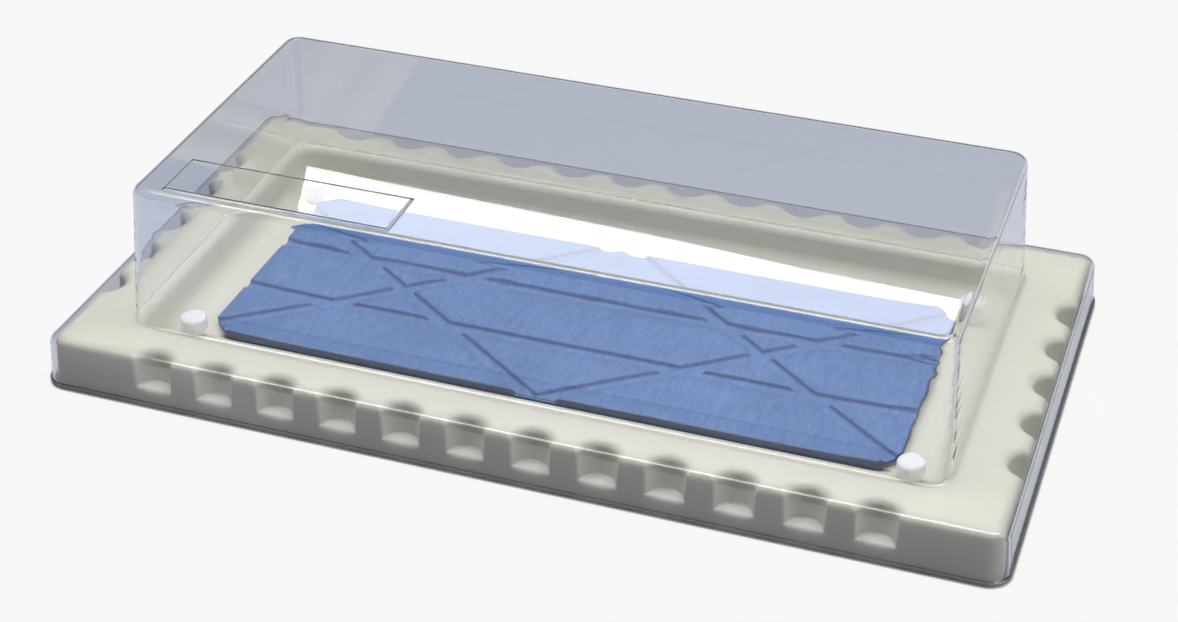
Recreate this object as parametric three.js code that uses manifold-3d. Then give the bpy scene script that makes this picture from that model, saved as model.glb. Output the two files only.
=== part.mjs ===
// A laboratory dissecting tray: a formed plastic pan, a flexible pad lying in its well between
// four push-in pegs, and a clear domed cover that lifts off.
// Millimetres, +Z up, the long side along X. The origin is on the table under the tray's centre.

import * as THREE from 'three';
import { mergeVertices } from 'three/addons/utils/BufferGeometryUtils.js';
import Module from 'manifold-3d';

const wasm = await Module();
wasm.setup();

// ---- driving dimensions -------------------------------------------------------------------

const SCALLOP_PITCH = 25.4;      // spacing of the finger scallops along every side
const SCALLOPS_LONG = 12;        // on each long side
const SCALLOPS_SHORT = 5;        // on each short side
const LONG_MARGIN = 43;          // from a rim corner to the first scallop's centre, long sides
const SHORT_MARGIN = 44;         // the same on the short sides

const RIM_LENGTH = (SCALLOPS_LONG - 1) * SCALLOP_PITCH + 2 * LONG_MARGIN;
const RIM_WIDTH = (SCALLOPS_SHORT - 1) * SCALLOP_PITCH + 2 * SHORT_MARGIN;

const PAN_HEIGHT = 19.8;
const PAN_WALL = 2;              // thickness of the formed pan
const PAN_FLARE = 1.4;           // the skirt leans out by this much at the table
const PAN_CORNER = 4.5;          // plan radius of the rim's corners
const RIM_EDGE = 2;              // rounding of the rim's outer edge

const SCALLOP_RADIUS = 7.1;
const SCALLOP_OUTSET = 1.6;      // the scallop's axis stands this far outside the rim
const SCALLOP_FLARE = 3;         // rounding of its top edge
const LEDGE_HEIGHT = 6.6;        // the flat ledge that closes each scallop below

const WELL_LENGTH = 322;         // the well's mouth
const WELL_WIDTH = 156;
const WELL_CORNER = 12;
const WELL_LIP = 4;              // rounding of the mouth
const WELL_DRAFT = 1.2;          // the walls lean in by this much
const WELL_FOOT = 8;             // fillet between wall and floor
const FLOOR_HEIGHT = 5.5;

const FIT_GAP = 0.4;             // play between faces that rest on each other

const PAD_LENGTH = 275;
const PAD_WIDTH = 107;
const PAD_THICKNESS = 4;
const PAD_CORNER_CUT = 7;
const PAD_BEVEL = 0.6;

const PEG_X = 143;
const PEG_Y = 55.6;
const PEG_CAP_RADIUS = 5.2;
const PEG_CAP_THICKNESS = 5.5;
const PEG_CAP_EDGE = 1.2;        // rounding of the cap's edge
const PEG_CAP_CROWN = 0.3;       // rise of the cap's middle over its edge
const PEG_STEM_RADIUS = 3.7;
const PEG_SPIGOT_RADIUS = 2.7;
const PEG_SPIGOT_LENGTH = 2.8;
const PEG_TOP = 15;              // above the table
const SOCKET_BOSS_RADIUS = 6;
const SOCKET_FLOOR = 2.2;
const SOCKET_WALL = 1.2;

const SHEET = 0.8;               // thickness of the cover's clear sheet
const COVER_CLEARANCE = 1.5;     // between the pan's skirt and the cover's
const COVER_CORNER = PAN_CORNER + COVER_CLEARANCE + SHEET;
const COVER_EDGE = 2.4;          // outer bend between flange and skirt
const COVER_FLARE = 1.3;
const COVER_HEM = 1.6;           // height of the cover's bottom edge
const HEM_LIP = 0.7;             // the hem turns out by this much
const DOME_BASE = [320, 150.4];
const DOME_TOP = [314, 141];
const DOME_BASE_CORNER = 8;
const DOME_TOP_CORNER = 5;
const DOME_BASE_FILLET = 2;
const DOME_TOP_EDGE = 3.6;
const COVER_TOP = 77.2;
const PANEL_SIZE = [92, 24.5];   // blank raised panel pressed into the dome's top
const PANEL_CENTRE = [-98.4, -53.6];
const PANEL_RISE = 0.5;
const PANEL_CORNER = 2;
const PANEL_BEVEL = 0.5;

const CORNER_STEPS = 6;          // facets in a plan corner
const EDGE_STEPS = 3;            // facets in a rounded edge
const SCALLOP_SEGMENTS = 16;
const PEG_SEGMENTS = 24;
const OVERSHOOT = 5;             // how far a cutting solid runs past what it cuts

// ---- building blocks ----------------------------------------------------------------------

// A rounded rectangle at height z, anticlockwise seen from above.
function ring(halfX, halfY, radius, z) {
  const points = [];
  for (let corner = 0; corner < 4; corner += 1) {
    const signX = corner === 0 || corner === 3 ? 1 : -1;
    const signY = corner < 2 ? 1 : -1;
    for (let step = 0; step <= CORNER_STEPS; step += 1) {
      const angle = (corner + step / CORNER_STEPS) * Math.PI / 2;
      points.push(new THREE.Vector3(
        signX * (halfX - radius) + radius * Math.cos(angle),
        signY * (halfY - radius) + radius * Math.sin(angle),
        z,
      ));
    }
  }
  return points;
}

// Skins a stack of rings, lowest first, and closes both ends.
function loft(rings) {
  const count = rings[0].length;
  const index = [];
  for (let level = 0; level + 1 < rings.length; level += 1) {
    for (let i = 0; i < count; i += 1) {
      const next = (i + 1) % count;
      const a = level * count + i;
      const b = level * count + next;
      index.push(a, b, b + count, a, b + count, a + count);
    }
  }
  const top = (rings.length - 1) * count;
  for (let i = 1; i + 1 < count; i += 1) {
    index.push(0, i + 1, i);
    index.push(top, top + i, top + i + 1);
  }
  const geometry = new THREE.BufferGeometry().setFromPoints(rings.flat());
  geometry.setIndex(index);
  return geometry;
}

// Points of a quarter circle as [across, up], from angle 0 (across = radius) to 90 degrees.
function quarter(radius, steps = EDGE_STEPS) {
  return Array.from({ length: steps + 1 }, (_, step) => {
    const angle = step / steps * Math.PI / 2;
    return [radius * Math.cos(angle), radius * Math.sin(angle)];
  });
}

function solid(geometry) {
  const bare = geometry.clone();
  bare.deleteAttribute('normal');
  bare.deleteAttribute('uv');
  const merged = mergeVertices(bare, 1e-4);
  const corners = merged.index.array;
  const triangles = [];
  for (let i = 0; i < corners.length; i += 3) {
    const [a, b, c] = corners.slice(i, i + 3);
    if (a !== b && b !== c && c !== a) triangles.push(a, b, c);
  }
  return new wasm.Manifold(new wasm.Mesh({
    numProp: 3,
    vertProperties: new Float32Array(merged.attributes.position.array),
    triVerts: new Uint32Array(triangles),
  }));
}

function geometryOf(manifold) {
  const { vertProperties, triVerts } = manifold.getMesh();
  const geometry = new THREE.BufferGeometry();
  geometry.setAttribute('position', new THREE.BufferAttribute(vertProperties, 3));
  geometry.setIndex(new THREE.BufferAttribute(triVerts, 1));
  geometry.computeVertexNormals();
  return geometry;
}

// A turned solid about the vertical through (x, y), from [radius, height] pairs, lowest first.
function turned(profile, segments, x = 0, y = 0) {
  const points = profile.map(([radius, height]) => new THREE.Vector2(radius, height));
  return new THREE.LatheGeometry(points, segments).rotateX(Math.PI / 2).translate(x, y, 0);
}

function sum(solids) {
  return solids.reduce((whole, part) => whole.add(part));
}

// ---- pan ----------------------------------------------------------------------------------

// The pan's outer block, or with inset > 0 the space inside its skirt and under its rim.
function panBlock(inset, bottom) {
  const halfX = RIM_LENGTH / 2 - inset;
  const halfY = RIM_WIDTH / 2 - inset;
  const corner = PAN_CORNER - inset;
  const edge = RIM_EDGE - inset / 2;
  const top = PAN_HEIGHT - inset;
  const lean = (z) => PAN_FLARE * (1 - z / PAN_HEIGHT);
  const skirt = [bottom, top - edge].map((z) => [lean(z), z]);
  const rounding = quarter(edge).slice(1).map(([across, up]) => [across - edge, top - edge + up]);
  return loft([...skirt, ...rounding].map(([out, z]) => (
    ring(halfX + out, halfY + out, corner + out, z)
  )));
}

// The well's hollow, or with wall > 0 the same shape thickened outwards.
function wellBlock(wall, bottom) {
  const halfX = WELL_LENGTH / 2 - WELL_LIP + wall;
  const halfY = WELL_WIDTH / 2 - WELL_LIP + wall;
  const corner = WELL_CORNER - WELL_LIP + wall;
  const foot = WELL_FOOT + wall;
  const lip = WELL_LIP - wall;
  const top = PAN_HEIGHT - wall;
  const footArc = quarter(foot).reverse().map(([across, up]) => (
    [-WELL_DRAFT - foot + across, bottom + foot - up]
  ));
  const lipArc = quarter(lip).map(([across, up]) => [lip - across, top - lip + up]);
  const mouth = [[lip, top + OVERSHOOT]];
  return loft([...footArc, ...lipArc, ...mouth].map(([out, z]) => (
    ring(halfX + out, halfY + out, Math.max(corner + out, 1), z)
  )));
}

// Centres of the scallops' axes, all round the rim.
function scallopAxes() {
  const along = (count) => Array.from({ length: count }, (_, i) => (
    (i - (count - 1) / 2) * SCALLOP_PITCH
  ));
  const atX = RIM_LENGTH / 2 + SCALLOP_OUTSET;
  const atY = RIM_WIDTH / 2 + SCALLOP_OUTSET;
  return [-1, 1].flatMap((side) => [
    ...along(SCALLOPS_LONG).map((x) => [x, side * atY]),
    ...along(SCALLOPS_SHORT).map((y) => [side * atX, y]),
  ]);
}

// One scallop's hollow, or with wall > 0 the same shape thickened.
function scallopBlock([x, y], wall) {
  const radius = SCALLOP_RADIUS + wall;
  const flare = SCALLOP_FLARE - wall;
  const top = PAN_HEIGHT - wall;
  const flareArc = quarter(flare, 2).map(([across, up]) => [radius + flare - across, top - flare + up]);
  const foot = LEDGE_HEIGHT - wall;
  const end = top + OVERSHOOT;
  const profile = [[0, foot], [radius, foot], ...flareArc, [radius + flare, end], [0, end]];
  return solid(turned(profile, SCALLOP_SEGMENTS, x, y));
}

function pegPlaces() {
  return {
    peg_front_left: [-PEG_X, -PEG_Y],
    peg_front_right: [PEG_X, -PEG_Y],
    peg_back_left: [-PEG_X, PEG_Y],
    peg_back_right: [PEG_X, PEG_Y],
  };
}

// An upright round bar at every peg's place.
function barsAtPegs(radius, low, high) {
  const profile = [[0, low], [radius, low], [radius, high], [0, high]];
  return sum(Object.values(pegPlaces()).map(([x, y]) => solid(turned(profile, SCALLOP_SEGMENTS, x, y))));
}

// The pegs stand in blind sockets: bosses under the floor, with a hole in each from above.
function socketBosses() {
  return barsAtPegs(SOCKET_BOSS_RADIUS, SOCKET_FLOOR - SOCKET_WALL, FLOOR_HEIGHT - PAN_WALL / 2);
}

function socketHoles() {
  return barsAtPegs(PEG_SPIGOT_RADIUS + FIT_GAP, SOCKET_FLOOR, FLOOR_HEIGHT + OVERSHOOT);
}

function pan() {
  const axes = scallopAxes();
  const underside = solid(panBlock(PAN_WALL, -OVERSHOOT))
    .subtract(solid(wellBlock(PAN_WALL, FLOOR_HEIGHT - PAN_WALL)))
    .subtract(sum(axes.map((axis) => scallopBlock(axis, PAN_WALL))))
    .subtract(socketBosses());
  return solid(panBlock(0, 0))
    .subtract(underside)
    .subtract(solid(wellBlock(0, FLOOR_HEIGHT)))
    .subtract(sum(axes.map((axis) => scallopBlock(axis, 0))))
    .subtract(socketHoles());
}

// ---- pad and pegs -------------------------------------------------------------------------

function pad() {
  const halfX = PAD_LENGTH / 2 - PAD_BEVEL;
  const halfY = PAD_WIDTH / 2 - PAD_BEVEL;
  const cut = PAD_CORNER_CUT;
  const outline = new THREE.Shape();
  outline.moveTo(halfX, -halfY + cut);
  outline.lineTo(halfX, halfY - cut);
  outline.lineTo(halfX - cut, halfY);
  outline.lineTo(-halfX + cut, halfY);
  outline.lineTo(-halfX, halfY - cut);
  outline.lineTo(-halfX, -halfY + cut);
  outline.lineTo(-halfX + cut, -halfY);
  outline.lineTo(halfX - cut, -halfY);
  const geometry = new THREE.ExtrudeGeometry(outline, {
    depth: PAD_THICKNESS - 2 * PAD_BEVEL,
    bevelThickness: PAD_BEVEL,
    bevelSize: PAD_BEVEL,
    bevelSegments: 1,
  });
  return solid(geometry.translate(0, 0, FLOOR_HEIGHT + FIT_GAP + PAD_BEVEL));
}

// A mushroom peg: a spigot in the socket, a stem standing on the floor and a rounded cap.
function peg([x, y]) {
  const seat = FLOOR_HEIGHT + FIT_GAP;
  const capFoot = PEG_TOP - PEG_CAP_THICKNESS;
  const shoulder = PEG_TOP - PEG_CAP_CROWN - PEG_CAP_EDGE;
  const crown = quarter(PEG_CAP_EDGE).map(([across, up]) => (
    [PEG_CAP_RADIUS - PEG_CAP_EDGE + across, shoulder + up]
  ));
  return turned([
    [0, seat - PEG_SPIGOT_LENGTH],
    [PEG_SPIGOT_RADIUS, seat - PEG_SPIGOT_LENGTH],
    [PEG_SPIGOT_RADIUS, seat],
    [PEG_STEM_RADIUS, seat],
    [PEG_STEM_RADIUS, capFoot],
    [PEG_CAP_RADIUS, capFoot],
    ...crown,
    [0, PEG_TOP],
  ], PEG_SEGMENTS, x, y);
}

// ---- cover --------------------------------------------------------------------------------

// The cover's outer surface, or with inset = SHEET its inner one, as one closed block.
function coverBlock(inset) {
  const flangeTop = PAN_HEIGHT + FIT_GAP + SHEET - inset;
  const flangeX = RIM_LENGTH / 2 + COVER_CLEARANCE + SHEET - inset;
  const flangeY = RIM_WIDTH / 2 + COVER_CLEARANCE + SHEET - inset;
  const corner = COVER_CORNER - inset;
  const edge = COVER_EDGE - inset;
  const atFlange = (out, z) => ring(flangeX + out, flangeY + out, corner + out, z);
  const lip = COVER_FLARE + HEM_LIP;
  const hem = inset > 0
    ? [[COVER_FLARE, COVER_HEM - OVERSHOOT], [COVER_FLARE, COVER_HEM]]
    : [[lip, COVER_HEM], [lip, COVER_HEM + SHEET], [COVER_FLARE, COVER_HEM + SHEET]];
  const bend = quarter(edge).map(([across, up]) => [across - edge, flangeTop - edge + up]);

  const fillet = DOME_BASE_FILLET + inset;
  const fold = quarter(fillet).reverse().map(([across, up]) => (
    [fillet - across, flangeTop + fillet - up]
  ));
  const top = COVER_TOP - inset;
  const topEdge = DOME_TOP_EDGE - inset;
  const crown = quarter(topEdge).map(([across, up]) => [across - topEdge, top - topEdge + up]);
  const onDome = ([length, width], radius) => ([out, z]) => (
    ring(length / 2 - inset + out, width / 2 - inset + out, Math.max(radius - inset + out, 1), z)
  );
  return loft([
    ...[...hem, ...bend].map(([out, z]) => atFlange(out, z)),
    ...fold.map(onDome(DOME_BASE, DOME_BASE_CORNER)),
    ...crown.map(onDome(DOME_TOP, DOME_TOP_CORNER)),
  ]);
}

// The raised panel's outer block, or with inset = SHEET the hollow under it.
function panelBlock(inset) {
  const halfX = PANEL_SIZE[0] / 2 - inset;
  const halfY = PANEL_SIZE[1] / 2 - inset;
  const top = COVER_TOP + PANEL_RISE - inset;
  const root = top - PANEL_RISE;
  const levels = [[0, root - SHEET], [0, root], [-PANEL_BEVEL, top]];
  return loft(levels.map(([out, z]) => ring(halfX + out, halfY + out, PANEL_CORNER - inset, z)))
    .translate(PANEL_CENTRE[0], PANEL_CENTRE[1], 0);
}

function cover() {
  return solid(coverBlock(0))
    .add(solid(panelBlock(0)))
    .subtract(solid(coverBlock(SHEET)))
    .subtract(solid(panelBlock(SHEET)));
}

// ---- assembly -----------------------------------------------------------------------------

function plastic(color, roughness, opacity = 1) {
  return new THREE.MeshStandardMaterial({
    color, roughness, metalness: 0, opacity, transparent: opacity < 1,
  });
}

function named(name, geometry, material) {
  const mesh = new THREE.Mesh(geometry, material);
  mesh.name = name;
  return mesh;
}

const tray = new THREE.Group();
tray.add(named('pan', geometryOf(pan()), plastic(0xdcddd0, 0.4)));
tray.add(named('pad', geometryOf(pad()), plastic(0x7088b8, 0.65)));
tray.add(named('cover', geometryOf(cover()), plastic(0xc4cad4, 0.08, 0.3)));
for (const [name, place] of Object.entries(pegPlaces())) {
  tray.add(named(name, geometryOf(solid(peg(place))), plastic(0xf2f5fa, 0.35)));
}

export default tray;
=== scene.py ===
"""A laboratory dissecting tray: scalloped pan, grooved pad, four pegs and a clear domed cover."""
import math

import bmesh
import bpy
from mathutils import Matrix, Vector, geometry, noise


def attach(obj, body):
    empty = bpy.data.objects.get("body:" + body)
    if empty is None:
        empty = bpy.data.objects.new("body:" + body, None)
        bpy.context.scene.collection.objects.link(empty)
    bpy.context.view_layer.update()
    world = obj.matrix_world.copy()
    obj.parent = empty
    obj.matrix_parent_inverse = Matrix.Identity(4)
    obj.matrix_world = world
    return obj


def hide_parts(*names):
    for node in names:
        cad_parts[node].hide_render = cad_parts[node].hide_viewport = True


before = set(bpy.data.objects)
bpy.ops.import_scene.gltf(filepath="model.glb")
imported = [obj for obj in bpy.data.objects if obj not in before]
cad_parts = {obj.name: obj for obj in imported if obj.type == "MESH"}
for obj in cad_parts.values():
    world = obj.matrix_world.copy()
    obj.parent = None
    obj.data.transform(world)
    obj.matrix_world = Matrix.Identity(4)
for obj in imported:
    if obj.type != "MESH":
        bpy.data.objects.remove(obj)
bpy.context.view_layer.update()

# ---- dimensions, in millimetres unless the name says otherwise ----------------------------

MM = 0.001
# Points closer than this are one point.
WELD = 0.002
CUT_WELD = 1e-4

SCALLOP_PITCH = 25.4
SCALLOPS_LONG = 12
SCALLOPS_SHORT = 5
SCALLOP_RADIUS = 7.1
SCALLOP_OUTSET = 1.6
SCALLOP_DRAFT = 0.5
SCALLOP_BLEND = 1.4
LEDGE_HEIGHT = 6.6
# Rings round a scallop's ledge: height over the ledge, and how much of the scallop is cut.
LEDGE_RINGS = (
    (-2.0, 0.0),
    (-1.2, 0.03),
    (-0.5, 0.1),
    (-0.12, 0.22),
    (0.0, 0.4),
    (0.15, 0.86),
    (0.4, 0.97),
    (0.95, 1.0),
)

RIM_HALF_X = 182.7
RIM_HALF_Y = 94.8
RIM_TOP = 19.8
RIM_ROUNDING = 3.4
RIM_SUPPORT = 0.3
RIM_BLEND = 2.6
PAN_FLARE = 1.4
PAN_CORNER = 4.5
PAN_WALL = 2.0
# Rings at the skirt's foot: height and distance inside its face.
SKIRT_FOOT = ((0.5, 0.0), (0.12, 0.15), (0.0, 0.5), (0.0, PAN_WALL))
INNER_ROUNDING_LEAST = 0.8

WELL_HALF_X = 157.0
WELL_HALF_Y = 74.0
WELL_CORNER = 8.0
WELL_CORNER_LEAST = 1.0
WELL_LIP = 4.0
WELL_DRAFT = 1.2
# The cove at the foot of the well: how far in it reaches on X and on Y, and how high.
WELL_FOOT = (8.0, 12.0)
WELL_FOOT_UNDER = (7.0, 11.0)
WELL_FOOT_RISE = 8.0
# Rings that keep the flats beside the well's lip and foot flat.
WELL_LIP_SUPPORT = 0.6
WELL_FOOT_SUPPORT = 0.8
FLOOR_TOP = 5.5

PAD_HALF_X = 137.5
PAD_HALF_Y = 53.5
PAD_LOW = 5.9
PAD_HIGH = 9.5
PAD_CUT = 7.0
PAD_ROUNDING = 0.7
PAD_STEP = 5.0
PAD_EDGE_LINES = (0.07, 0.25, 0.55, 1.0)
PAD_SWELL = 0.12
PAD_SWELL_SIZE = (40, 30)
PAD_CURL = 1.2
PAD_FLAT_TO = 95.0
GROOVE_WIDTH = 6.6
GROOVE_EDGE = 1.15
GROOVE_DEPTH = 1.85
GROOVE_PARTS = 4
# Each groove's centre line on the pad: x and y where it starts and ends.
GROOVES = (
    (-140.0, -20.6, 140.0, -20.6),
    (-140.0, 14.4, 140.0, 14.4),
    (-2.0, -55.5, -140.0, 42.5),
    (-136.5, -50.5, -5.5, 55.5),
    (0.5, -55.5, 140.0, 51.5),
    (1.0, 55.5, 140.0, -54.5),
)

PEG_X = 143.0
PEG_Y = 55.6
PEG_SEAT = 5.9
PEG_TOP = 15.0
PEG_CAP_FOOT = 9.5
PEG_CAP_RADIUS = 5.2
PEG_CAP_EDGE = 1.3
PEG_STEM_RADIUS = 3.7
PEG_SPIGOT_RADIUS = 2.7
PEG_SPIGOT_LOW = 3.1
PEG_AXIS_GAP = 0.01
PEG_CHAMFER = 0.3
PEG_SEAT_CHAMFER = 0.2
# The dish in the cap's top: radius and depth.
PEG_DISH = ((2.4, 0.0), (1.8, 0.15), (PEG_AXIS_GAP, 0.2))
SOCKET_CHAMFER = 0.4
SOCKET_RADIUS = 3.1
SOCKET_LOW = 2.2
BOSS_RADIUS = 6.0
BOSS_LOW = 1.0

SHEET = 0.8
HEM_LOW = 1.6
HEM_LIP = 0.7
HEM_SLOPE = 0.2
COVER_HALF_X = 185.0
COVER_HALF_Y = 97.1
COVER_CORNER = 6.8
COVER_FLARE = 1.3
COVER_EDGE = 3.4
FLANGE_TOP = 21.0
DOME_BASE = (160.0, 75.2)
DOME_BASE_CORNER = 8.0
DOME_FOLD = 2.0
DOME_TOP = (157.0, 70.5)
DOME_TOP_CORNER = 7.0
DOME_EDGE = 3.6
# How far in from the bend the rings lie that carry the flat top to its grid.
TOP_BAND = (0.25, 0.8, 1.05, 1.5, 1.95, 2.2, 3.0)
COVER_TOP = 77.2
PANEL_CENTRE = (-98.4, -53.6)
PANEL_HALF = (46.0, 12.25)
PANEL_RISE = 0.5
PANEL_BEVEL = 0.9
PANEL_WAVE = 0.012
PANEL_WAVE_SIZE = (9, 4)
# The flat top's grid: its step, the lines beside the panel's edges, and the least gaps.
GRID_STEP = 3.0
PANEL_LINE_GAP = 0.25
GRID_GAP_LEAST = 0.6
GRID_END_GAP = 0.1
# The sheet's unevenness: over all of it, at the dome's corners, and high on its walls.
RIPPLE_ALL = 0.05
RIPPLE_ALL_SIZE = (90, 60, 45)
RIPPLE_CORNER = 0.10
RIPPLE_CORNER_FROM = (-22, -7)
RIPPLE_UPPER = 0.016
RIPPLE_UPPER_FROM = (58, 70)
RIPPLE_FINE_SIZE = (10, 10, 2.2)
RIPPLE_FINE_SHIFT = 7

# Parts that each rounding or wall is divided into.
CIRCLE_PARTS = 32
PEG_PARTS = 48
CORNER_PARTS = 10
SCALLOP_FLAT_PARTS = 3
SCALLOP_END_PARTS = 6
SCALLOP_BLEND_PARTS = 4
SCALLOP_ARC_PARTS = 14
RIM_PARTS = 7
LIP_PARTS = 6
FOOT_PARTS = 8
CROWN_PARTS = 7
SKIRT_PARTS = 4
COVER_EDGE_PARTS = 6
FOLD_PARTS = 6
DOME_WALL_PARTS = 48
DOME_EDGE_PARTS = 8

# ---- camera, lights and stage -------------------------------------------------------------

PHOTO_WIDTH = 1178
FOCAL_PIXELS = 2255.75
CAMERA_AZIMUTH = math.radians(19.459)
CAMERA_ELEVATION = math.radians(33.056)
CAMERA_ROLL = math.radians(-0.14)
CAMERA_DISTANCE_M = 0.9131
CAMERA_AIM_M = (-0.0055, 0.0199, 0.0)
CAMERA_CLIP_M = (0.01, 20)
SENSOR_MM = 36.0

LIGHT_AIM_M = (0.0, -0.035, 0.077)
SOFTBOX_COLOUR = (0.995, 1.0, 1.03)
# Each softbox: name, azimuth and elevation in degrees, distance and size in metres, how
# bright its reflection is, and its roll in degrees. The narrow one behind is there for its
# reflection in the cover's flat top.
SOFTBOXES = (
    ("strip_behind", 196.1, 33.2, 1.5, (0.74, 0.093), 3.1, -9.7),
    ("key_above", 190, 84, 1.4, (1.7, 0.42), 5.2, 0.0),
    ("side_right", 85, 30, 1.5, (0.7, 0.7), 1.5, 0.0),
    ("fill_above", 180, 88, 1.6, (2.2, 2.0), 0.28, 0.0),
)
WORLD_COLOUR = (0.99, 0.96, 1.03, 1)
WORLD_STRENGTH = 0.11

FLOOR_REACH_M = 4.0
PAPER_BASE = (0.1, 0.1, 0.1, 1)
PAPER_ROUGHNESS = 0.9
PAPER_SEEN_PLAIN = (0.85, 0.85, 0.85, 1)
PAPER_SEEN_BY_COVER = (0.50, 0.53, 0.60, 1)
# How much of the paper's light falls on the tray, and how near the foot a painted contact shadow
# darkens it.
PAPER_LIGHT = 0.045
CONTACT_REACH_M = 0.0024
CONTACT_RANGE = (0.68, 0.82)

# ---- surface colours ----------------------------------------------------------------------

PAN_COLOURS = ((0.705, 0.695, 0.59), (0.735, 0.725, 0.62))
PAN_IOR = 1.5
PAD_COLOURS = ((0.094, 0.19, 0.42), (0.117, 0.222, 0.475))
PAD_STREAK_TINTS = ((0.66, 0.72, 0.80), (1.24, 1.18, 1.10))
PAD_STREAK_STRETCH = (1.5, 0.35, 1.0)
# Painted shade for the pad's cut edges and groove walls.
PAD_SIDE_SHADE_COLOUR = (0.012, 0.035, 0.13, 1)
PEG_COLOURS = ((0.9, 0.93, 0.94), (0.95, 0.965, 0.97))
SHEET_COLOUR = (0.99, 0.992, 0.996, 1)
SHEET_SHADE = (0.95, 0.955, 0.96, 1)
SHEET_IOR = 1.58


# ---- building the stage -------------------------------------------------------------------


def direction(azimuth, elevation):
    """Unit vector from the object; azimuth 0 is the front, -Y, and 90 degrees is +X."""
    flat = math.cos(elevation)
    return Vector(
        (math.sin(azimuth) * flat, -math.cos(azimuth) * flat, math.sin(elevation))
    )


def facing(back, roll=0.0):
    """Rotation whose local Z is `back` and whose local Y points up, turned by `roll`."""
    right = Vector((0, 0, 1)).cross(back).normalized()
    up = back.cross(right)
    turned_right = right * math.cos(roll) + up * math.sin(roll)
    turned_up = up * math.cos(roll) - right * math.sin(roll)
    return Matrix((turned_right, turned_up, back)).transposed().to_4x4()


def add_camera():
    data = bpy.data.cameras.new("camera")
    data.sensor_width = SENSOR_MM
    data.lens = SENSOR_MM * FOCAL_PIXELS / PHOTO_WIDTH
    data.clip_start, data.clip_end = CAMERA_CLIP_M
    camera = bpy.data.objects.new("camera", data)
    back = direction(CAMERA_AZIMUTH, CAMERA_ELEVATION)
    place = Vector(CAMERA_AIM_M) + back * CAMERA_DISTANCE_M
    camera.matrix_world = Matrix.Translation(place) @ facing(back, CAMERA_ROLL)
    bpy.context.collection.objects.link(camera)
    bpy.context.scene.camera = camera


def add_softbox(name, azimuth, elevation, distance, size, radiance, roll):
    """A rectangular light aimed at the cover; `radiance` is what its reflection shows."""
    data = bpy.data.lights.new(name, "AREA")
    data.shape = "RECTANGLE"
    data.color = SOFTBOX_COLOUR
    data.size, data.size_y = size
    data.energy = radiance * math.pi * size[0] * size[1]
    light = bpy.data.objects.new(name, data)
    back = direction(math.radians(azimuth), math.radians(elevation))
    place = Vector(LIGHT_AIM_M) + back * distance
    light.matrix_world = Matrix.Translation(place) @ facing(back, math.radians(roll))
    bpy.context.collection.objects.link(light)


def add_lights():
    for softbox in SOFTBOXES:
        add_softbox(*softbox)
    world = bpy.data.worlds.new("studio")
    world.use_nodes = True
    background = world.node_tree.nodes["Background"]
    background.inputs["Color"].default_value = WORLD_COLOUR
    background.inputs["Strength"].default_value = WORLD_STRENGTH
    bpy.context.scene.world = world
    bpy.context.scene.view_settings.view_transform = "Standard"


def add_floor():
    mesh = bpy.data.meshes.new("floor")
    signs = ((-1, -1), (1, -1), (1, 1), (-1, 1))
    corners = [(x * FLOOR_REACH_M, y * FLOOR_REACH_M, 0) for x, y in signs]
    mesh.from_pydata(corners, [], [(0, 1, 2, 3)])
    floor = bpy.data.objects.new("floor", mesh)
    bpy.context.collection.objects.link(floor)
    material, nodes, links, shader = new_material("floor_paper")
    shader.inputs["Base Color"].default_value = PAPER_BASE
    shader.inputs["Roughness"].default_value = PAPER_ROUGHNESS
    # The paper looks white, and blue-grey where it is seen through the cover or mirrored.
    path = nodes.new("ShaderNodeLightPath")
    through = nodes.new("ShaderNodeMix")
    through.data_type = "RGBA"
    through.inputs["A"].default_value = PAPER_SEEN_PLAIN
    through.inputs["B"].default_value = PAPER_SEEN_BY_COVER
    by_cover = nodes.new("ShaderNodeMath")
    links.new(path.outputs["Transmission Depth"], by_cover.inputs[0])
    links.new(path.outputs["Glossy Depth"], by_cover.inputs[1])
    links.new(by_cover.outputs["Value"], through.inputs["Factor"])
    links.new(through.outputs["Result"], shader.inputs["Emission Color"])
    # It throws little light back.
    glow = range_node(nodes, links, path.outputs["Diffuse Depth"], 1.0, PAPER_LIGHT, 0.0, 1.0)
    # A painted contact shadow darkens it close to the tray's foot.
    nearby = nodes.new("ShaderNodeAmbientOcclusion")
    nearby.inputs["Distance"].default_value = CONTACT_REACH_M
    painted_contact_shadow = range_node(nodes, links, nearby.outputs["AO"], 0.0, 1.0, *CONTACT_RANGE)
    lit = nodes.new("ShaderNodeMath")
    lit.operation = "MULTIPLY"
    links.new(glow, lit.inputs[0])
    links.new(painted_contact_shadow, lit.inputs[1])
    links.new(lit.outputs["Value"], shader.inputs["Emission Strength"])
    mesh.materials.append(material)


# ---- mesh helpers -------------------------------------------------------------------------


def steps(start, end, count):
    """`count` + 1 evenly spaced numbers from start to end."""
    return [start + (end - start) * i / count for i in range(count + 1)]


def make_object(name, points, faces, sharp_degrees=35):
    mesh = bpy.data.meshes.new(name)
    mesh.from_pydata([Vector(p) * MM for p in points], [], faces)
    made = bmesh.new()
    made.from_mesh(mesh)
    bmesh.ops.remove_doubles(made, verts=made.verts, dist=WELD * MM)
    bmesh.ops.recalc_face_normals(made, faces=made.faces)
    made.to_mesh(mesh)
    made.free()
    mesh.shade_smooth()
    mesh.set_sharp_from_angle(angle=math.radians(sharp_degrees))
    piece = bpy.data.objects.new(name, mesh)
    bpy.context.collection.objects.link(piece)
    return piece


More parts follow.
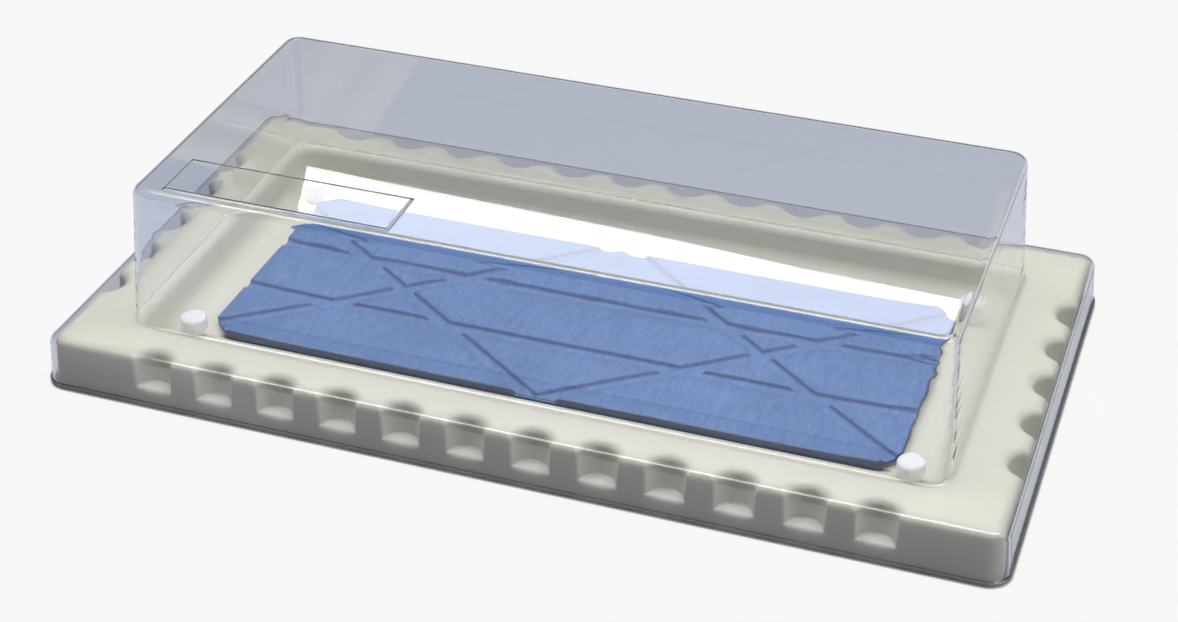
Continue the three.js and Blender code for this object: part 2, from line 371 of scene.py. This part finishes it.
class Skin:
    """Points and faces built up ring by ring."""

    def __init__(self):
        self.points = []
        self.faces = []

    def ring(self, points):
        first = len(self.points)
        self.points.extend(points)
        return list(range(first, len(self.points)))

    def bridge(self, low, high):
        count = len(low)
        for i in range(count):
            j = (i + 1) % count
            self.faces.append((low[i], low[j], high[j], high[i]))

    def loft(self, rings):
        """Skins a list of rings of points, and gives back the first and last ring."""
        made = [self.ring(points) for points in rings]
        for low, high in zip(made, made[1:]):
            self.bridge(low, high)
        return made[0], made[-1]

    def fill(self, outline, holes=()):
        """Fills a flat ring, leaving each ring in `holes` open."""
        loops = [outline, *holes]
        flat = [index for loop in loops for index in loop]
        shapes = [[Vector(self.points[index]) for index in loop] for loop in loops]
        for triangle in geometry.tessellate_polygon(shapes):
            self.faces.append(tuple(flat[corner] for corner in triangle))


def circle(x, y, radius, z, count=CIRCLE_PARTS):
    return [
        (x + radius * math.cos(a), y + radius * math.sin(a), z)
        for a in (math.tau * i / count for i in range(count))
    ]


# The four sides anticlockwise from the front: outward normal and direction of travel.
SIDES = (
    (Vector((0, -1)), Vector((1, 0))),
    (Vector((1, 0)), Vector((0, 1))),
    (Vector((0, 1)), Vector((-1, 0))),
    (Vector((-1, 0)), Vector((0, -1))),
)


def rounded_ring(half, corner, z, sides):
    """A rounded rectangle; `sides` holds each side's points as (place from -1 to 1, depth)."""
    ring = []
    for (normal, travel), samples in zip(SIDES, sides):
        reach = abs(normal.x) * half[0] + abs(normal.y) * half[1]
        length = abs(travel.x) * half[0] + abs(travel.y) * half[1] - corner
        for place, depth in samples:
            at = normal * (reach - depth) + travel * (place * length)
            ring.append((at.x, at.y, z))
        centre = normal * (reach - corner) + travel * length
        for angle in steps(0, math.pi / 2, CORNER_PARTS)[1:-1]:
            at = centre + (normal * math.cos(angle) + travel * math.sin(angle)) * corner
            ring.append((at.x, at.y, z))
    return ring


# ---- pan ----------------------------------------------------------------------------------

# The ring where the rim's rounding meets its flat top.
RIM_FLAT_RADIUS = SCALLOP_RADIUS + SCALLOP_DRAFT + RIM_ROUNDING + RIM_SUPPORT


def lean(z):
    """How far the skirt stands out (below zero) at one height."""
    return -PAN_FLARE * (1 - z / RIM_TOP)


RIM_FLAT_INSET = lean(RIM_TOP - RIM_ROUNDING) + RIM_ROUNDING + RIM_SUPPORT


def scallop(inset, radius, blend):
    """One scallop's edge seen from above, as (along the side, depth into the rim)."""
    outset = SCALLOP_OUTSET + inset + blend
    reach = math.sqrt((radius + blend) ** 2 - outset**2)
    turn = math.atan2(reach, outset)
    run_in = [
        (-reach + blend * math.sin(a), inset + blend - blend * math.cos(a))
        for a in steps(0, turn, SCALLOP_BLEND_PARTS)
    ]
    arc = [
        (radius * math.sin(a), radius * math.cos(a) - SCALLOP_OUTSET)
        for a in steps(-turn, turn, SCALLOP_ARC_PARTS)
    ]
    run_out = [(-along, depth) for along, depth in reversed(run_in)]
    return run_in + arc[1:-1] + run_out


def scalloped_side(count, half_length, inset, radius, blend, cut):
    """A side's points as (along, depth); `cut` 0 leaves the scallops out, 1 cuts them."""
    edge = scallop(inset, radius, blend)
    side = []
    here = -half_length
    for i in range(count):
        centre = (i - (count - 1) / 2) * SCALLOP_PITCH
        start = centre + edge[0][0]
        parts = SCALLOP_END_PARTS if i == 0 else SCALLOP_FLAT_PARTS
        side += [(along, inset) for along in steps(here, start, parts)[:-1]]
        side += [(centre + along, inset + (depth - inset) * cut) for along, depth in edge]
        here = centre + edge[-1][0]
        if i < count - 1:
            side.pop()
    side += [(along, inset) for along in steps(here, half_length, SCALLOP_END_PARTS)[1:]]
    return side


def rim_ring(z, inset, cut=0.0, radius=SCALLOP_RADIUS, blend=SCALLOP_BLEND):
    """The pan's outline at one height, a distance `inset` inside the rim's nominal face."""
    ring = []
    corner = PAN_CORNER - inset
    for number, (normal, travel) in enumerate(SIDES):
        long_side = number % 2 == 0
        reach = RIM_HALF_Y if long_side else RIM_HALF_X
        length = (RIM_HALF_X if long_side else RIM_HALF_Y) - PAN_CORNER
        count = SCALLOPS_LONG if long_side else SCALLOPS_SHORT
        for along, depth in scalloped_side(count, length, inset, radius, blend, cut):
            at = normal * (reach - depth) + travel * along
            ring.append((at.x, at.y, z))
        centre = normal * (reach - PAN_CORNER) + travel * length
        for angle in steps(0, math.pi / 2, CORNER_PARTS)[1:-1]:
            at = centre + (normal * math.cos(angle) + travel * math.sin(angle)) * corner
            ring.append((at.x, at.y, z))
    return ring


def even_ring(z, half, corner, knee=True):
    """A plain rounded rectangle whose points face those of the rim's scalloped edge."""
    sides = []
    for number in range(4):
        long_side = number % 2 == 0
        length = (RIM_HALF_X if long_side else RIM_HALF_Y) - PAN_CORNER
        target = (half[0] if long_side else half[1]) - corner
        count = SCALLOPS_LONG if long_side else SCALLOPS_SHORT
        side = scalloped_side(count, length, RIM_FLAT_INSET, RIM_FLAT_RADIUS, RIM_BLEND, 0)
        fixed = (count - 1) / 2 * SCALLOP_PITCH + RIM_FLAT_RADIUS if knee else 0.0
        places = []
        for along, _ in side:
            beyond = max(abs(along) - fixed, 0.0)
            moved = min(abs(along), fixed) + beyond * (target - fixed) / (length - fixed)
            places.append((math.copysign(moved, along) / target, 0))
        sides.append(places)
    return rounded_ring(half, corner, z, sides)


def well_ring(z, out, in_x=0.0, in_y=0.0):
    """The well's outline at one height: `out` beyond its wall's top, less the two insets."""
    half = (WELL_HALF_X + out - in_x, WELL_HALF_Y + out - in_y)
    return even_ring(z, half, max(WELL_CORNER + out - in_x, WELL_CORNER_LEAST), knee=False)


def skirt_rings(wall):
    """The skirt from its foot up and over the edge of the rim, `wall` inside its face."""
    top = RIM_TOP - wall
    ledge = LEDGE_HEIGHT - wall
    rounding = max(RIM_ROUNDING - wall, INNER_ROUNDING_LEAST)
    wide = SCALLOP_RADIUS + wall
    rings = []
    for over, cut in LEDGE_RINGS:
        z = ledge + over
        rings.append(rim_ring(z, lean(z) + wall, cut, wide))
    spring = top - rounding
    for angle in steps(0, math.pi / 2, RIM_PARTS):
        inward = rounding * (1 - math.cos(angle))
        rings.append(
            rim_ring(
                spring + rounding * math.sin(angle),
                lean(spring) + wall + inward,
                1.0,
                wide + SCALLOP_DRAFT + inward,
                SCALLOP_BLEND + (RIM_BLEND - SCALLOP_BLEND) * inward / rounding,
            )
        )
    rings.append(rim_ring(top, RIM_FLAT_INSET, 1.0, RIM_FLAT_RADIUS, RIM_BLEND))
    clear = RIM_FLAT_RADIUS - SCALLOP_OUTSET + RIM_SUPPORT
    rings.append(even_ring(top, (RIM_HALF_X - clear, RIM_HALF_Y - clear), RIM_BLEND))
    return rings


def well_rings(wall):
    """The well from the lip of the rim down to its floor, `wall` outside its face."""
    top = RIM_TOP - wall
    floor = FLOOR_TOP - wall
    lip = WELL_LIP - wall
    foot = WELL_FOOT_UNDER if wall else WELL_FOOT
    rise = WELL_FOOT_RISE + wall
    rings = [well_ring(top, wall + lip + WELL_LIP_SUPPORT)]
    for angle in steps(math.pi / 2, 0, LIP_PARTS):
        rings.append(
            well_ring(top - lip + lip * math.sin(angle), wall + lip * (1 - math.cos(angle)))
        )
    for angle in steps(0, math.pi / 2, FOOT_PARTS):
        inward = [reach * (1 - math.cos(angle)) for reach in foot]
        z = floor + rise * (1 - math.sin(angle))
        rings.append(well_ring(z, wall - WELL_DRAFT, *inward))
    rings.append(well_ring(floor, wall - WELL_DRAFT - WELL_FOOT_SUPPORT, *foot))
    return rings


def peg_places():
    return {
        "peg_front_left": (-PEG_X, -PEG_Y),
        "peg_front_right": (PEG_X, -PEG_Y),
        "peg_back_left": (-PEG_X, PEG_Y),
        "peg_back_right": (PEG_X, PEG_Y),
    }


def build_pan():
    skin = Skin()
    foot = [rim_ring(z, lean(0) + inset) for z, inset in SKIRT_FOOT]
    outside = list(reversed(well_rings(0))) + list(reversed(skirt_rings(0)))
    inside = skirt_rings(PAN_WALL) + well_rings(PAN_WALL)
    floor, underside = skin.loft(outside + foot + inside)
    holes, bosses = [], []
    for x, y in peg_places().values():
        mouth, bottom = skin.loft(
            [
                circle(x, y, SOCKET_RADIUS + SOCKET_CHAMFER, FLOOR_TOP),
                circle(x, y, SOCKET_RADIUS, FLOOR_TOP - SOCKET_CHAMFER),
                circle(x, y, SOCKET_RADIUS, SOCKET_LOW),
            ]
        )
        skin.fill(bottom)
        holes.append(mouth)
        root, end = skin.loft(
            [
                circle(x, y, BOSS_RADIUS, FLOOR_TOP - PAN_WALL),
                circle(x, y, BOSS_RADIUS, BOSS_LOW),
            ]
        )
        skin.fill(end)
        bosses.append(root)
    skin.fill(floor, holes)
    skin.fill(underside, bosses)
    pan = make_object("tray_pan", skin.points, skin.faces)
    pan.data.materials.append(pan_plastic())
    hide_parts("pan")
    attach(pan, "pan")


# ---- pad ----------------------------------------------------------------------------------


def smoothstep(low, high, value):
    """0 below `low`, 1 above `high`, and a soft rise between."""
    t = min(max((value - low) / (high - low), 0.0), 1.0)
    return t * t * (3 - 2 * t)


def groove_depth(x, y):
    """How far the grooves sink the pad's top at one place."""
    deepest = 0.0
    for x0, y0, x1, y1 in GROOVES:
        length = math.hypot(x1 - x0, y1 - y0)
        across = abs((x - x0) * (y1 - y0) - (y - y0) * (x1 - x0)) / length
        half = GROOVE_WIDTH / 2
        deepest = max(deepest, 1 - smoothstep(half - GROOVE_EDGE, half, across))
    return deepest * GROOVE_DEPTH


def edge_drop(x, y):
    """How far the rounding of the pad's edge sinks its top at one place."""
    inside = min(reach - normal[0] * x - normal[1] * y for normal, reach in pad_sides())
    short = max(PAD_ROUNDING - max(inside, 0.0), 0.0)
    return PAD_ROUNDING - math.sqrt(PAD_ROUNDING**2 - short**2)


def pad_sides():
    """The pad's eight sides, as (outward normal, distance from its centre)."""
    half = math.sqrt(0.5)
    sides = []
    for sign in (-1, 1):
        sides.append(((sign, 0), PAD_HALF_X))
        sides.append(((0, sign), PAD_HALF_Y))
        for other in (-1, 1):
            cut = (PAD_HALF_X + PAD_HALF_Y - PAD_CUT) * half
            sides.append(((sign * half, other * half), cut))
    return sides


def curl(x):
    """How far the pad's ends lift off the floor."""
    return PAD_CURL * (max(abs(x) - PAD_FLAT_TO, 0.0) / (PAD_HALF_X - PAD_FLAT_TO)) ** 2


def pad_cuts():
    """Every line the pad's top is divided along, as (point, normal)."""
    cuts = []
    for half, normal in ((PAD_HALF_X, (1, 0)), (PAD_HALF_Y, (0, 1))):
        for place in steps(-half, half, round(2 * half / PAD_STEP))[1:-1]:
            cuts.append(((normal[0] * place, normal[1] * place), normal))
    for normal, reach in pad_sides():
        for inside in PAD_EDGE_LINES:
            place = reach - inside * PAD_ROUNDING
            cuts.append(((normal[0] * place, normal[1] * place), normal))
    for x0, y0, x1, y1 in GROOVES:
        length = math.hypot(x1 - x0, y1 - y0)
        normal = ((y1 - y0) / length, (x0 - x1) / length)
        for share in steps(0, 1, GROOVE_PARTS):
            offset = GROOVE_WIDTH / 2 - share * GROOVE_EDGE
            for signed in (-offset, offset):
                cuts.append(((x0 + normal[0] * signed, y0 + normal[1] * signed), normal))
    return cuts


def build_pad():
    made = bmesh.new()
    near, far = PAD_HALF_X - PAD_CUT, PAD_HALF_Y - PAD_CUT
    outline = [(-near, -PAD_HALF_Y), (near, -PAD_HALF_Y), (PAD_HALF_X, -far), (PAD_HALF_X, far)]
    outline += [(-x, -y) for x, y in outline]
    made.faces.new([made.verts.new((x, y, 0)) for x, y in outline])
    for (x, y), (across, along) in pad_cuts():
        bmesh.ops.bisect_plane(
            made,
            geom=made.verts[:] + made.edges[:] + made.faces[:],
            plane_co=(x, y, 0),
            plane_no=(across, along, 0),
            dist=CUT_WELD,
        )
    for vertex in made.verts:
        x, y, _ = vertex.co
        place = Vector((x / PAD_SWELL_SIZE[0], y / PAD_SWELL_SIZE[1], 3.0))
        swell = PAD_SWELL * noise.noise(place)
        sunk = max(edge_drop(x, y), groove_depth(x, y))
        vertex.co.z = PAD_HIGH - PAD_SWELL + swell + curl(x) - sunk
    border = [edge for edge in made.edges if len(edge.link_faces) == 1]
    sides = bmesh.ops.extrude_edge_only(made, edges=border)["geom"]
    for item in sides:
        if isinstance(item, bmesh.types.BMVert):
            item.co.z = PAD_LOW + curl(item.co.x)
    bottom = [edge for edge in made.edges if len(edge.link_faces) == 1]
    bmesh.ops.contextual_create(made, geom=bottom)
    made.verts.index_update()
    points = [tuple(v.co) for v in made.verts]
    faces = [[v.index for v in face.verts] for face in made.faces]
    made.free()
    pad = make_object("cutting_pad", points, faces, sharp_degrees=60)
    pad.data.materials.append(pad_vinyl())
    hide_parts("pad")
    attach(pad, "pad")


# ---- pegs ---------------------------------------------------------------------------------


def build_pegs():
    material = peg_plastic()
    shoulder = PEG_TOP - PEG_CAP_EDGE
    crown = [
        (PEG_CAP_RADIUS - PEG_CAP_EDGE * (1 - math.cos(a)), shoulder + PEG_CAP_EDGE * math.sin(a))
        for a in steps(0, math.pi / 2, CROWN_PARTS)
    ]
    profile = [
        (PEG_AXIS_GAP, PEG_SPIGOT_LOW),
        (PEG_SPIGOT_RADIUS - PEG_CHAMFER, PEG_SPIGOT_LOW),
        (PEG_SPIGOT_RADIUS, PEG_SPIGOT_LOW + PEG_CHAMFER),
        (PEG_SPIGOT_RADIUS, PEG_SEAT),
        (PEG_STEM_RADIUS - PEG_SEAT_CHAMFER, PEG_SEAT),
        (PEG_STEM_RADIUS, PEG_SEAT + PEG_SEAT_CHAMFER),
        (PEG_STEM_RADIUS, PEG_CAP_FOOT - PEG_CHAMFER),
        (PEG_STEM_RADIUS + PEG_CHAMFER, PEG_CAP_FOOT),
        (PEG_CAP_RADIUS - PEG_CHAMFER, PEG_CAP_FOOT),
        (PEG_CAP_RADIUS, PEG_CAP_FOOT + PEG_CHAMFER),
        *crown,
        *((radius, PEG_TOP - depth) for radius, depth in PEG_DISH),
    ]
    for name, (x, y) in peg_places().items():
        skin = Skin()
        first, last = skin.loft([circle(x, y, r, z, PEG_PARTS) for r, z in profile])
        skin.fill(first)
        skin.fill(last)
        peg = make_object(name.replace("peg", "corner_peg"), skin.points, skin.faces)
        peg.data.materials.append(material)
        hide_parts(name)
        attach(peg, name)


# ---- cover --------------------------------------------------------------------------------

# The corner rounding where the flat top's grid begins.
FLAT_CORNER = DOME_TOP_CORNER - DOME_EDGE - TOP_BAND[-1]


def cover_lines(half, marks):
    """Grid lines over the dome's top, with extra ones on each side of every mark."""
    straight = half - FLAT_CORNER
    lines = steps(-straight, straight, round(2 * straight / GRID_STEP))
    beside = (PANEL_LINE_GAP, PANEL_BEVEL, PANEL_BEVEL + PANEL_LINE_GAP)
    shifts = [side * shift for side in (-1, 1) for shift in beside]
    extra = [mark + shift for mark in marks for shift in (0.0, *shifts)]
    extra = [v for v in extra if abs(v) < straight - GRID_END_GAP]
    kept = [v for v in lines[1:-1] if all(abs(v - e) > GRID_GAP_LEAST for e in extra)]
    return [-half] + sorted([-straight, straight] + kept + extra) + [half]


def panel_height(x, y):
    """How far the raised panel lifts the flat top at one place."""
    inside = min(
        PANEL_HALF[0] - abs(x - PANEL_CENTRE[0]), PANEL_HALF[1] - abs(y - PANEL_CENTRE[1])
    )
    wide, deep = PANEL_WAVE_SIZE
    wave = PANEL_WAVE * noise.noise(Vector((x / wide, y / deep, 0.0)))
    return (PANEL_RISE + wave) * min(max(inside / PANEL_BEVEL, 0.0), 1.0)


def ripple(point, outside):
    """The sheet's slight unevenness; its thickness varies most where it was drawn furthest."""
    x, y, z = point
    wide, deep, high = RIPPLE_ALL_SIZE
    wave = RIPPLE_ALL * noise.noise(Vector((x / wide, y / deep, z / high)))
    if not outside or not FLANGE_TOP + DOME_FOLD < z < COVER_TOP - DOME_EDGE:
        return wave
    beyond = min(abs(x) - DOME_BASE[0], abs(y) - DOME_BASE[1])
    corner = smoothstep(*RIPPLE_CORNER_FROM, beyond)
    upper = smoothstep(*RIPPLE_UPPER_FROM, z)
    wide, deep, high = RIPPLE_FINE_SIZE
    fine = noise.noise(Vector((x / wide, y / deep + RIPPLE_FINE_SHIFT, z / high)))
    return wave + fine * max(RIPPLE_CORNER * corner, RIPPLE_UPPER * upper)


def cover_skin(inset):
    """One face of the sheet, as its rings from the hem up and the grid of the flat top."""
    flat = [half - DOME_EDGE - TOP_BAND[-1] for half in DOME_TOP]
    marks_x = [PANEL_CENTRE[0] + side * PANEL_HALF[0] for side in (-1, 1)]
    marks_y = [PANEL_CENTRE[1] + side * PANEL_HALF[1] for side in (-1, 1)]
    xs = cover_lines(flat[0], marks_x)
    ys = cover_lines(flat[1], marks_y)
    along_x = [(x / xs[-2], 0) for x in xs[1:-1]]
    along_y = [(y / ys[-2], 0) for y in ys[1:-1]]
    back_x = [(-place, depth) for place, depth in reversed(along_x)]
    back_y = [(-place, depth) for place, depth in reversed(along_y)]
    sides = (along_x, along_y, back_x, back_y)

    def ring(half, corner, out, z):
        grown = (half[0] - inset + out, half[1] - inset + out)
        return rounded_ring(grown, corner - inset + out, z, sides)

    flange = (COVER_HALF_X, COVER_HALF_Y)
    edge = COVER_EDGE - inset
    flange_top = FLANGE_TOP - inset
    rings = []
    lip = HEM_LIP if inset == 0 else 0.0
    rings.append(ring(flange, COVER_CORNER, COVER_FLARE + lip, HEM_LOW))
    rings.append(ring(flange, COVER_CORNER, COVER_FLARE + lip, HEM_LOW + SHEET))
    rings.append(ring(flange, COVER_CORNER, COVER_FLARE, HEM_LOW + SHEET + HEM_SLOPE))
    for t in steps(0, 1, SKIRT_PARTS)[1:-1]:
        z = HEM_LOW + (flange_top - edge - HEM_LOW) * t
        rings.append(ring(flange, COVER_CORNER, COVER_FLARE * (1 - t), z))
    for angle in steps(0, math.pi / 2, COVER_EDGE_PARTS):
        rings.append(
            ring(
                flange,
                COVER_CORNER,
                edge * (math.cos(angle) - 1),
                flange_top - edge + edge * math.sin(angle),
            )
        )
    fold = DOME_FOLD + inset
    for angle in steps(math.pi / 2, 0, FOLD_PARTS):
        rings.append(
            ring(
                DOME_BASE,
                DOME_BASE_CORNER,
                fold * (1 - math.cos(angle)),
                flange_top + fold * (1 - math.sin(angle)),
            )
        )
    low = flange_top + fold
    crown = DOME_EDGE - inset
    high = COVER_TOP - inset - crown
    for t in steps(0, 1, DOME_WALL_PARTS)[1:-1]:
        half = tuple(b + (a - b) * t for a, b in zip(DOME_TOP, DOME_BASE))
        corner = DOME_BASE_CORNER + (DOME_TOP_CORNER - DOME_BASE_CORNER) * t
        rings.append(ring(half, corner, 0, low + (high - low) * t))
    for angle in steps(0, math.pi / 2, DOME_EDGE_PARTS):
        rings.append(
            ring(
                DOME_TOP,
                DOME_TOP_CORNER,
                crown * (math.cos(angle) - 1),
                high + crown * math.sin(angle),
            )
        )
    for band in TOP_BAND:
        level = ring(DOME_TOP, DOME_TOP_CORNER, -crown - band, COVER_TOP - inset)
        rings.append([(x, y, z + panel_height(x, y)) for x, y, z in level])
    grid = [[(x, y, COVER_TOP - inset + panel_height(x, y)) for x in xs] for y in ys]
    return rings, grid


def unevened(point, outside):
    """A point moved by the sheet's unevenness along the way the sheet faces there."""
    return tuple(Vector(point) + outward_at(point) * ripple(point, outside))


def outward_at(point):
    """Roughly the way the sheet faces: up on its flats, outward on its walls."""
    x, y, z = point
    if FLANGE_TOP + DOME_FOLD < z < COVER_TOP - DOME_EDGE:
        across = DOME_BASE[0] - abs(x), DOME_BASE[1] - abs(y)
        side = Vector((math.copysign(1, x), 0, 0))
        front = Vector((0, math.copysign(1, y), 0))
        return side if across[0] < across[1] else front
    if z > COVER_TOP - DOME_EDGE:
        return Vector((0, 0, 1))
    return Vector((0, 0, 0))


def close_corners(skin, rim, rows):
    """Fills the four rounded corners between the flat top's grid and the ring round it."""
    inner = (rows[1][-2], rows[-2][-2], rows[-2][1], rows[1][1])
    lengths = [len(rows[0]) - 2, len(rows) - 2] * 2
    start = 0
    for length, corner in zip(lengths, inner):
        start += length
        arc = [rim[(start - 1 + k) % len(rim)] for k in range(CORNER_PARTS + 1)]
        skin.faces.append((*arc, corner))
        start += CORNER_PARTS - 1


def build_cover():
    skin = Skin()
    hems = []
    for inset in (0.0, SHEET):
        rings, grid = cover_skin(inset)
        rings = [[unevened(p, inset == 0) for p in ring] for ring in rings]
        grid = [[unevened(p, inset == 0) for p in row] for row in grid]
        hem, rim = skin.loft(rings)
        hems.append(hem)
        rows = [skin.ring(row) for row in grid]
        last, top = len(grid[0]) - 1, len(grid) - 1
        for j, (low, high) in enumerate(zip(rows, rows[1:])):
            for i in range(last):
                if i in (0, last - 1) and j in (0, top - 1):
                    continue
                skin.faces.append((low[i], low[i + 1], high[i + 1], high[i]))
        close_corners(skin, rim, rows)
    skin.bridge(*hems)
    cover = make_object("clear_cover", skin.points, skin.faces, sharp_degrees=45)
    cover.data.materials.append(clear_sheet())
    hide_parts("cover")
    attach(cover, "cover")


# ---- materials ----------------------------------------------------------------------------


def new_material(name):
    material = bpy.data.materials.new(name)
    material.use_nodes = True
    nodes, links = material.node_tree.nodes, material.node_tree.links
    return material, nodes, links, nodes["Principled BSDF"]


def place_node(nodes, links, stretch=(1, 1, 1)):
    """Object coordinates, stretched by the given factors."""
    coordinates = nodes.new("ShaderNodeTexCoord")
    mapping = nodes.new("ShaderNodeMapping")
    mapping.inputs["Scale"].default_value = stretch
    links.new(coordinates.outputs["Object"], mapping.inputs["Vector"])
    return mapping.outputs["Vector"]


def noise_node(nodes, links, vector, scale, detail, roughness=0.55, distortion=0.0):
    texture = nodes.new("ShaderNodeTexNoise")
    texture.inputs["Scale"].default_value = scale
    texture.inputs["Detail"].default_value = detail
    texture.inputs["Roughness"].default_value = roughness
    texture.inputs["Distortion"].default_value = distortion
    links.new(vector, texture.inputs["Vector"])
    return texture.outputs["Fac"]


def ramp_node(nodes, links, factor, low, high, start=0.3, end=0.7):
    """`factor` from start to end mapped from one colour to the other."""
    ramp = nodes.new("ShaderNodeValToRGB")
    ramp.color_ramp.elements[0].position = start
    ramp.color_ramp.elements[0].color = (*low, 1)
    ramp.color_ramp.elements[1].position = end
    ramp.color_ramp.elements[1].color = (*high, 1)
    links.new(factor, ramp.inputs["Fac"])
    return ramp.outputs["Color"]


def range_node(nodes, links, factor, low, high, start=0.3, end=0.7):
    """`factor` from start to end mapped to low to high."""
    spread = nodes.new("ShaderNodeMapRange")
    spread.inputs["From Min"].default_value = start
    spread.inputs["From Max"].default_value = end
    spread.inputs["To Min"].default_value = low
    spread.inputs["To Max"].default_value = high
    links.new(factor, spread.inputs["Value"])
    return spread.outputs["Result"]


def bump_node(nodes, links, height, distance, strength, normal=None):
    bump = nodes.new("ShaderNodeBump")
    bump.inputs["Distance"].default_value = distance
    bump.inputs["Strength"].default_value = strength
    links.new(height, bump.inputs["Height"])
    if normal is not None:
        links.new(normal, bump.inputs["Normal"])
    return bump.outputs["Normal"]


def pan_plastic():
    material, nodes, links, shader = new_material("pan_plastic_finish")
    vector = place_node(nodes, links)
    cloud = noise_node(nodes, links, vector, scale=14, detail=3)
    colour = ramp_node(nodes, links, cloud, *PAN_COLOURS)
    links.new(colour, shader.inputs["Base Color"])
    smear = noise_node(nodes, links, vector, scale=60, detail=5)
    roughness = range_node(nodes, links, smear, low=0.32, high=0.5)
    links.new(roughness, shader.inputs["Roughness"])
    peel = noise_node(nodes, links, vector, scale=420, detail=3)
    broad = noise_node(nodes, links, vector, scale=45, detail=2)
    normal = bump_node(nodes, links, peel, distance=0.00008, strength=0.6)
    normal = bump_node(nodes, links, broad, distance=0.0006, strength=0.35, normal=normal)
    links.new(normal, shader.inputs["Normal"])
    shader.inputs["IOR"].default_value = PAN_IOR
    return material


def pad_vinyl():
    material, nodes, links, shader = new_material("pad_vinyl_finish")
    vector = place_node(nodes, links)
    streaked = place_node(nodes, links, PAD_STREAK_STRETCH)
    streak = noise_node(
        nodes, links, streaked, scale=400, detail=5, roughness=0.65, distortion=0.6
    )
    cloud = noise_node(nodes, links, vector, scale=22, detail=4)
    mix = nodes.new("ShaderNodeMix")
    mix.data_type = "RGBA"
    mix.blend_type = "MULTIPLY"
    mix.inputs["Factor"].default_value = 1.0
    base = ramp_node(nodes, links, cloud, *PAD_COLOURS)
    lines = ramp_node(nodes, links, streak, *PAD_STREAK_TINTS)
    links.new(base, mix.inputs["A"])
    links.new(lines, mix.inputs["B"])
    # Painted shade: faces that turn away from up, the pad's cut edges and the grooves' walls, are
    # mixed toward a dark navy that stands in for the shade on them.
    geometry_node = nodes.new("ShaderNodeNewGeometry")
    split = nodes.new("ShaderNodeSeparateXYZ")
    links.new(geometry_node.outputs["Normal"], split.inputs["Vector"])
    upward = range_node(
        nodes, links, split.outputs["Z"], low=0.0, high=1.0, start=0.1, end=0.55
    )
    side_shade = nodes.new("ShaderNodeMix")
    side_shade.data_type = "RGBA"
    side_shade.inputs["A"].default_value = PAD_SIDE_SHADE_COLOUR
    links.new(upward, side_shade.inputs["Factor"])
    links.new(mix.outputs["Result"], side_shade.inputs["B"])
    links.new(side_shade.outputs["Result"], shader.inputs["Base Color"])
    roughness = range_node(nodes, links, streak, low=0.5, high=0.68)
    links.new(roughness, shader.inputs["Roughness"])
    grain = noise_node(nodes, links, vector, scale=900, detail=3)
    normal = bump_node(nodes, links, streak, distance=0.00012, strength=0.5)
    normal = bump_node(nodes, links, grain, distance=0.00005, strength=0.4, normal=normal)
    links.new(normal, shader.inputs["Normal"])
    return material


def peg_plastic():
    material, nodes, links, shader = new_material("peg_plastic_finish")
    vector = place_node(nodes, links)
    cloud = noise_node(nodes, links, vector, scale=120, detail=3)
    colour = ramp_node(nodes, links, cloud, *PEG_COLOURS)
    links.new(colour, shader.inputs["Base Color"])
    roughness = range_node(nodes, links, cloud, low=0.3, high=0.45)
    links.new(roughness, shader.inputs["Roughness"])
    grain = noise_node(nodes, links, vector, scale=1500, detail=2)
    normal = bump_node(nodes, links, grain, distance=0.00003, strength=0.5)
    links.new(normal, shader.inputs["Normal"])
    return material


def clear_sheet():
    material, nodes, links, shader = new_material("clear_sheet_finish")
    vector = place_node(nodes, links)
    shader.inputs["Base Color"].default_value = SHEET_COLOUR
    shader.inputs["Transmission Weight"].default_value = 1.0
    shader.inputs["IOR"].default_value = SHEET_IOR
    smear = noise_node(nodes, links, vector, scale=30, detail=4)
    roughness = range_node(nodes, links, smear, low=0.0, high=0.03, start=0.45, end=0.8)
    links.new(roughness, shader.inputs["Roughness"])
    path = nodes.new("ShaderNodeLightPath")
    clear = nodes.new("ShaderNodeBsdfTransparent")
    clear.inputs["Color"].default_value = SHEET_SHADE
    mix = nodes.new("ShaderNodeMixShader")
    links.new(path.outputs["Is Shadow Ray"], mix.inputs["Fac"])
    links.new(shader.outputs["BSDF"], mix.inputs[1])
    links.new(clear.outputs["BSDF"], mix.inputs[2])
    links.new(mix.outputs["Shader"], nodes["Material Output"].inputs["Surface"])
    return material


# ---- assembly -----------------------------------------------------------------------------

add_camera()
add_lights()
add_floor()
build_pan()
build_pad()
build_pegs()
build_cover()
